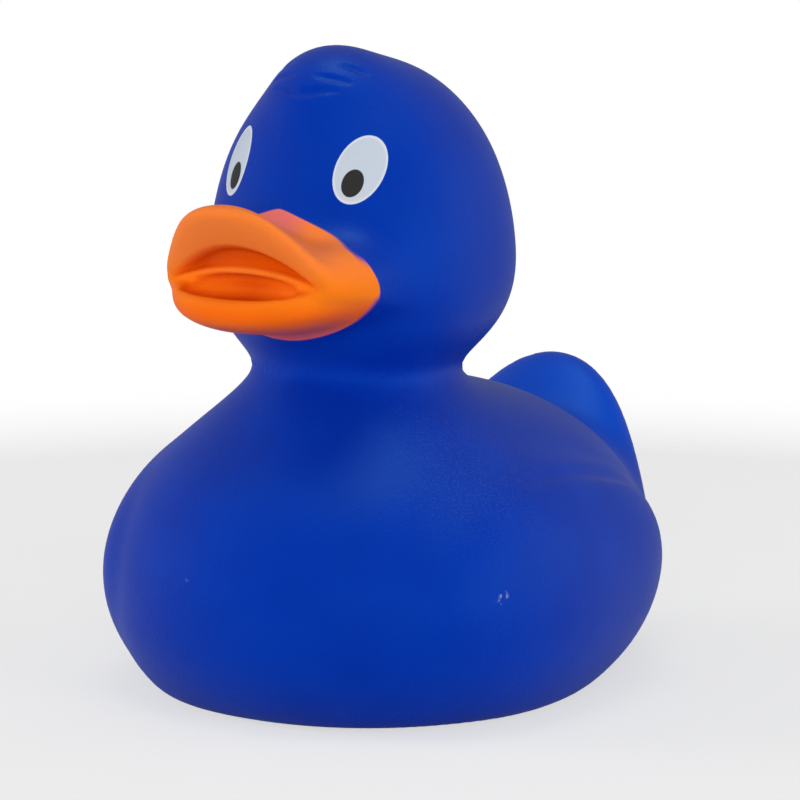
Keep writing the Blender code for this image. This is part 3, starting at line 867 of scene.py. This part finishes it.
def vinyl_finish(shift):
    """Satin vinyl with the printed eyes and the sprayed bill, on a net that was moved by the shift."""
    graph = Graph("vinyl_finish")
    place = graph.vector("SUBTRACT", graph.place, (0.0, shift, 0.0))
    x, y, z = graph.parts(place)
    side = graph.number("ABSOLUTE", x)
    paint = graph.rise(paint_edge(graph, side, y, z), *PAINT_FADE)
    colour = graph.mixed(paint, blue_vinyl(graph, place, y, z), orange_paint(graph, side, y, z))
    white = ovals(graph, place, EYES)
    rimmed = graph.mixed(graph.rise(white, *EYE_RIM_FADE), EYE_RIM, EYE_WHITE)
    eye = graph.rise(white, *PRINT_FADE)
    colour = graph.mixed(eye, colour, rimmed)
    pupil = graph.rise(ovals(graph, place, PUPILS), *PRINT_FADE)
    colour = graph.mixed(pupil, colour, PUPIL)
    graph.fill(graph.shader.inputs["Base Color"], colour)
    grain = graph.noise(VINYL_SKIN_SCALE, 3.0)
    rough = graph.blended(eye, graph.blended(grain, *VINYL_ROUGHNESS), EYE_ROUGHNESS)
    graph.fill(graph.shader.inputs["Roughness"], rough)
    graph.fill(graph.shader.inputs["Normal"], graph.bump(grain, VINYL_SKIN_HEIGHT))
    gloss = graph.mixed(eye, graph.mixed(paint, VINYL_GLOSS, PAINT_GLOSS), EYE_GLOSS)
    graph.fill(graph.shader.inputs["Specular Tint"], gloss)
    graph.shader.inputs["Specular IOR Level"].default_value = VINYL_SPECULAR
    return graph.material


def plug_finish():
    """Pale plastic of the squeaker."""
    graph = Graph("plug_finish")
    grain = graph.noise(PLUG_SKIN_SCALE, 3.0)
    graph.fill(graph.shader.inputs["Base Color"], graph.mixed(grain, PLUG_DARK, PLUG_PALE))
    graph.fill(graph.shader.inputs["Roughness"], graph.blended(grain, *PLUG_ROUGHNESS))
    graph.fill(graph.shader.inputs["Normal"], graph.bump(grain, PLUG_SKIN_HEIGHT))
    return graph.material


def dress(piece, material):
    piece.data.materials.clear()
    piece.data.materials.append(material)


# floor, just under the duck: its colour to the eye, its darker colour in the light it sends back, and the
# distances between which it fades into the backdrop
FLOOR_SIZE = 3.0
FLOOR_Z = -0.0002
FLOOR_GRAIN_SCALE = 40.0
FLOOR_DARK = (0.93, 0.93, 0.93)
FLOOR_PALE = (0.96, 0.96, 0.96)
FLOOR_BOUNCE = (0.55, 0.55, 0.55)
FLOOR_ROUGHNESS = 0.8
FLOOR_FADE = (0.08, 0.25)

# share of the white backdrop that the camera sees through the floor, so that the floor stays pale
FLOOR_CLEAR = 0.6


def make_floor():
    """Pale floor with the duck's shadow on it, which fades into the white background."""
    bpy.ops.mesh.primitive_plane_add(size=FLOOR_SIZE, location=(0.0, 0.0, FLOOR_Z))
    floor = bpy.context.object
    floor.name = "floor"
    graph = Graph("floor_finish")
    pale = graph.mixed(graph.noise(FLOOR_GRAIN_SCALE, 2.0), FLOOR_DARK, FLOOR_PALE)
    path = graph.tree.nodes.new("ShaderNodeLightPath")
    seen = graph.number("MAXIMUM", path.outputs["Is Camera Ray"], path.outputs["Is Glossy Ray"])
    seen = graph.number("MAXIMUM", seen, path.outputs["Is Transmission Ray"])
    graph.fill(graph.shader.inputs["Base Color"], graph.mixed(seen, FLOOR_BOUNCE, pale))
    graph.shader.inputs["Roughness"].default_value = FLOOR_ROUGHNESS
    graph.shader.inputs["Specular IOR Level"].default_value = 0.0
    clear = graph.tree.nodes.new("ShaderNodeBsdfTransparent")
    fade = graph.tree.nodes.new("ShaderNodeMixShader")
    far = graph.rise(graph.vector("LENGTH", graph.place), *FLOOR_FADE)
    lift = graph.number("MULTIPLY", path.outputs["Is Camera Ray"], FLOOR_CLEAR)
    graph.fill(fade.inputs[0], graph.number("MAXIMUM", far, lift))
    graph.fill(fade.inputs[1], graph.shader.outputs[0])
    graph.fill(fade.inputs[2], clear.outputs[0])
    graph.fill(graph.tree.nodes["Material Output"].inputs["Surface"], fade.outputs[0])
    dress(floor, graph.material)


# camera solved from the photograph's outline
CAMERA_AZIMUTH = 34.14
CAMERA_ELEVATION = 8.66
CAMERA_DISTANCE = 0.5
CAMERA_TARGET_Z = 0.040
CAMERA_LENS = 173.25
CAMERA_SENSOR = 36.0
CAMERA_SHIFT = (0.03515, -0.02664)
CAMERA_CLIP = 0.01

# soft round lamps around the duck: direction and height in degrees, power for its colour and for its shine
LAMP_DISTANCE = 0.9
LAMP_SIZE = 0.5
LAMP_TARGET = (0.0, 0.0, 0.04)
LAMPS = {
    "left": (-60.0, 8.0, 4.1, 0.0),
    "front": (31.0, 8.0, 4.0, 0.0),
    "right": (80.0, 8.0, 2.3, 0.0),
    "right_back": (125.0, 8.0, 1.3, 0.0),
    "top": (34.0, 85.0, 1.1, 0.0),
    "top_shine": (34.0, 85.0, 0.0, 2.6),
}


def heading(azimuth, elevation):
    """Direction given by degrees to the duck's left of its front, and degrees above the floor."""
    turn = math.radians(azimuth)
    rise = math.radians(elevation)
    return Vector((math.sin(turn) * math.cos(rise), -math.cos(turn) * math.cos(rise), math.sin(rise)))


def make_lamps():
    for name, (azimuth, elevation, power, shine) in LAMPS.items():
        light = bpy.data.lights.new(name, "AREA")
        light.shape = "DISK"
        light.size = LAMP_SIZE
        light.energy = power + shine
        lamp = bpy.data.objects.new(name, light)
        away = heading(azimuth, elevation)
        lamp.location = Vector(LAMP_TARGET) + LAMP_DISTANCE * away
        lamp.rotation_euler = away.to_track_quat("Z", "Y").to_euler()
        lamp.visible_diffuse = power > 0.0
        lamp.visible_glossy = shine > 0.0
        bpy.context.scene.collection.objects.link(lamp)


# the world's strength in the light it gives and in the reflections behind and in front of the duck
WORLD_LIGHT = 0.26
WORLD_BEHIND = 0.42
WORLD_FRONT = 1.0
WORLD_FADE = (0.0, 0.65)


def make_world():
    """White backdrop for the camera, a dimmer one in the reflections of what lies behind the duck."""
    world = bpy.data.worlds.new("studio")
    bpy.context.scene.world = world
    world.use_nodes = True
    nodes = world.node_tree.nodes
    links = world.node_tree.links
    path = nodes.new("ShaderNodeLightPath")
    toward = nodes.new("ShaderNodeTexCoord").outputs["Generated"]
    behind = nodes.new("ShaderNodeVectorMath")
    behind.operation = "DOT_PRODUCT"
    behind.inputs[1].default_value = -heading(CAMERA_AZIMUTH, 0.0)
    links.new(toward, behind.inputs[0])
    shine = nodes.new("ShaderNodeMapRange")
    shine.interpolation_type = "SMOOTHSTEP"
    shine.inputs["From Min"].default_value = WORLD_FADE[0]
    shine.inputs["From Max"].default_value = WORLD_FADE[1]
    shine.inputs["To Min"].default_value = WORLD_FRONT
    shine.inputs["To Max"].default_value = WORLD_BEHIND
    links.new(behind.outputs["Value"], shine.inputs["Value"])
    strength = WORLD_LIGHT
    rays = (
        ("Is Glossy Ray", shine.outputs["Result"]),
        ("Is Transmission Ray", 1.0),
        ("Is Camera Ray", 1.0),
    )
    for ray, value in rays:
        pick = nodes.new("ShaderNodeMix")
        links.new(path.outputs[ray], pick.inputs[0])
        for socket, source in ((pick.inputs[2], strength), (pick.inputs[3], value)):
            if isinstance(source, float):
                socket.default_value = source
            else:
                links.new(source, socket)
        strength = pick.outputs[0]
    nodes["Background"].inputs["Color"].default_value = (1.0, 1.0, 1.0, 1.0)
    links.new(strength, nodes["Background"].inputs["Strength"])


def make_camera(shift):
    back = heading(CAMERA_AZIMUTH, CAMERA_ELEVATION)
    right = heading(CAMERA_AZIMUTH + 90.0, 0.0)
    up = back.cross(right)
    place = Vector((0.0, shift, CAMERA_TARGET_Z)) + CAMERA_DISTANCE * back
    data = bpy.data.cameras.new("camera")
    data.lens = CAMERA_LENS
    data.sensor_width = CAMERA_SENSOR
    data.shift_x, data.shift_y = CAMERA_SHIFT
    data.clip_start = CAMERA_CLIP
    camera = bpy.data.objects.new("camera", data)
    turn = Matrix((right, up, back)).transposed().to_4x4()
    camera.matrix_world = Matrix.Translation(place) @ turn
    bpy.context.scene.collection.objects.link(camera)
    bpy.context.scene.camera = camera


def middle_y(piece):
    y = [corner[1] for corner in piece.bound_box]
    return 0.5 * (min(y) + max(y))


skin = make_skin()
low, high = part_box("duck_body")
shift = 0.5 * (low.y + high.y) - middle_y(skin)
skin.data.transform(Matrix.Translation((0.0, shift, 0.0)))
dress(skin, vinyl_finish(shift))
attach(skin, "root")
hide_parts("duck_body")
dress(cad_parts["squeaker"], plug_finish())

make_floor()
make_world()
make_lamps()
make_camera(shift)

bpy.context.scene.view_settings.view_transform = "Standard"
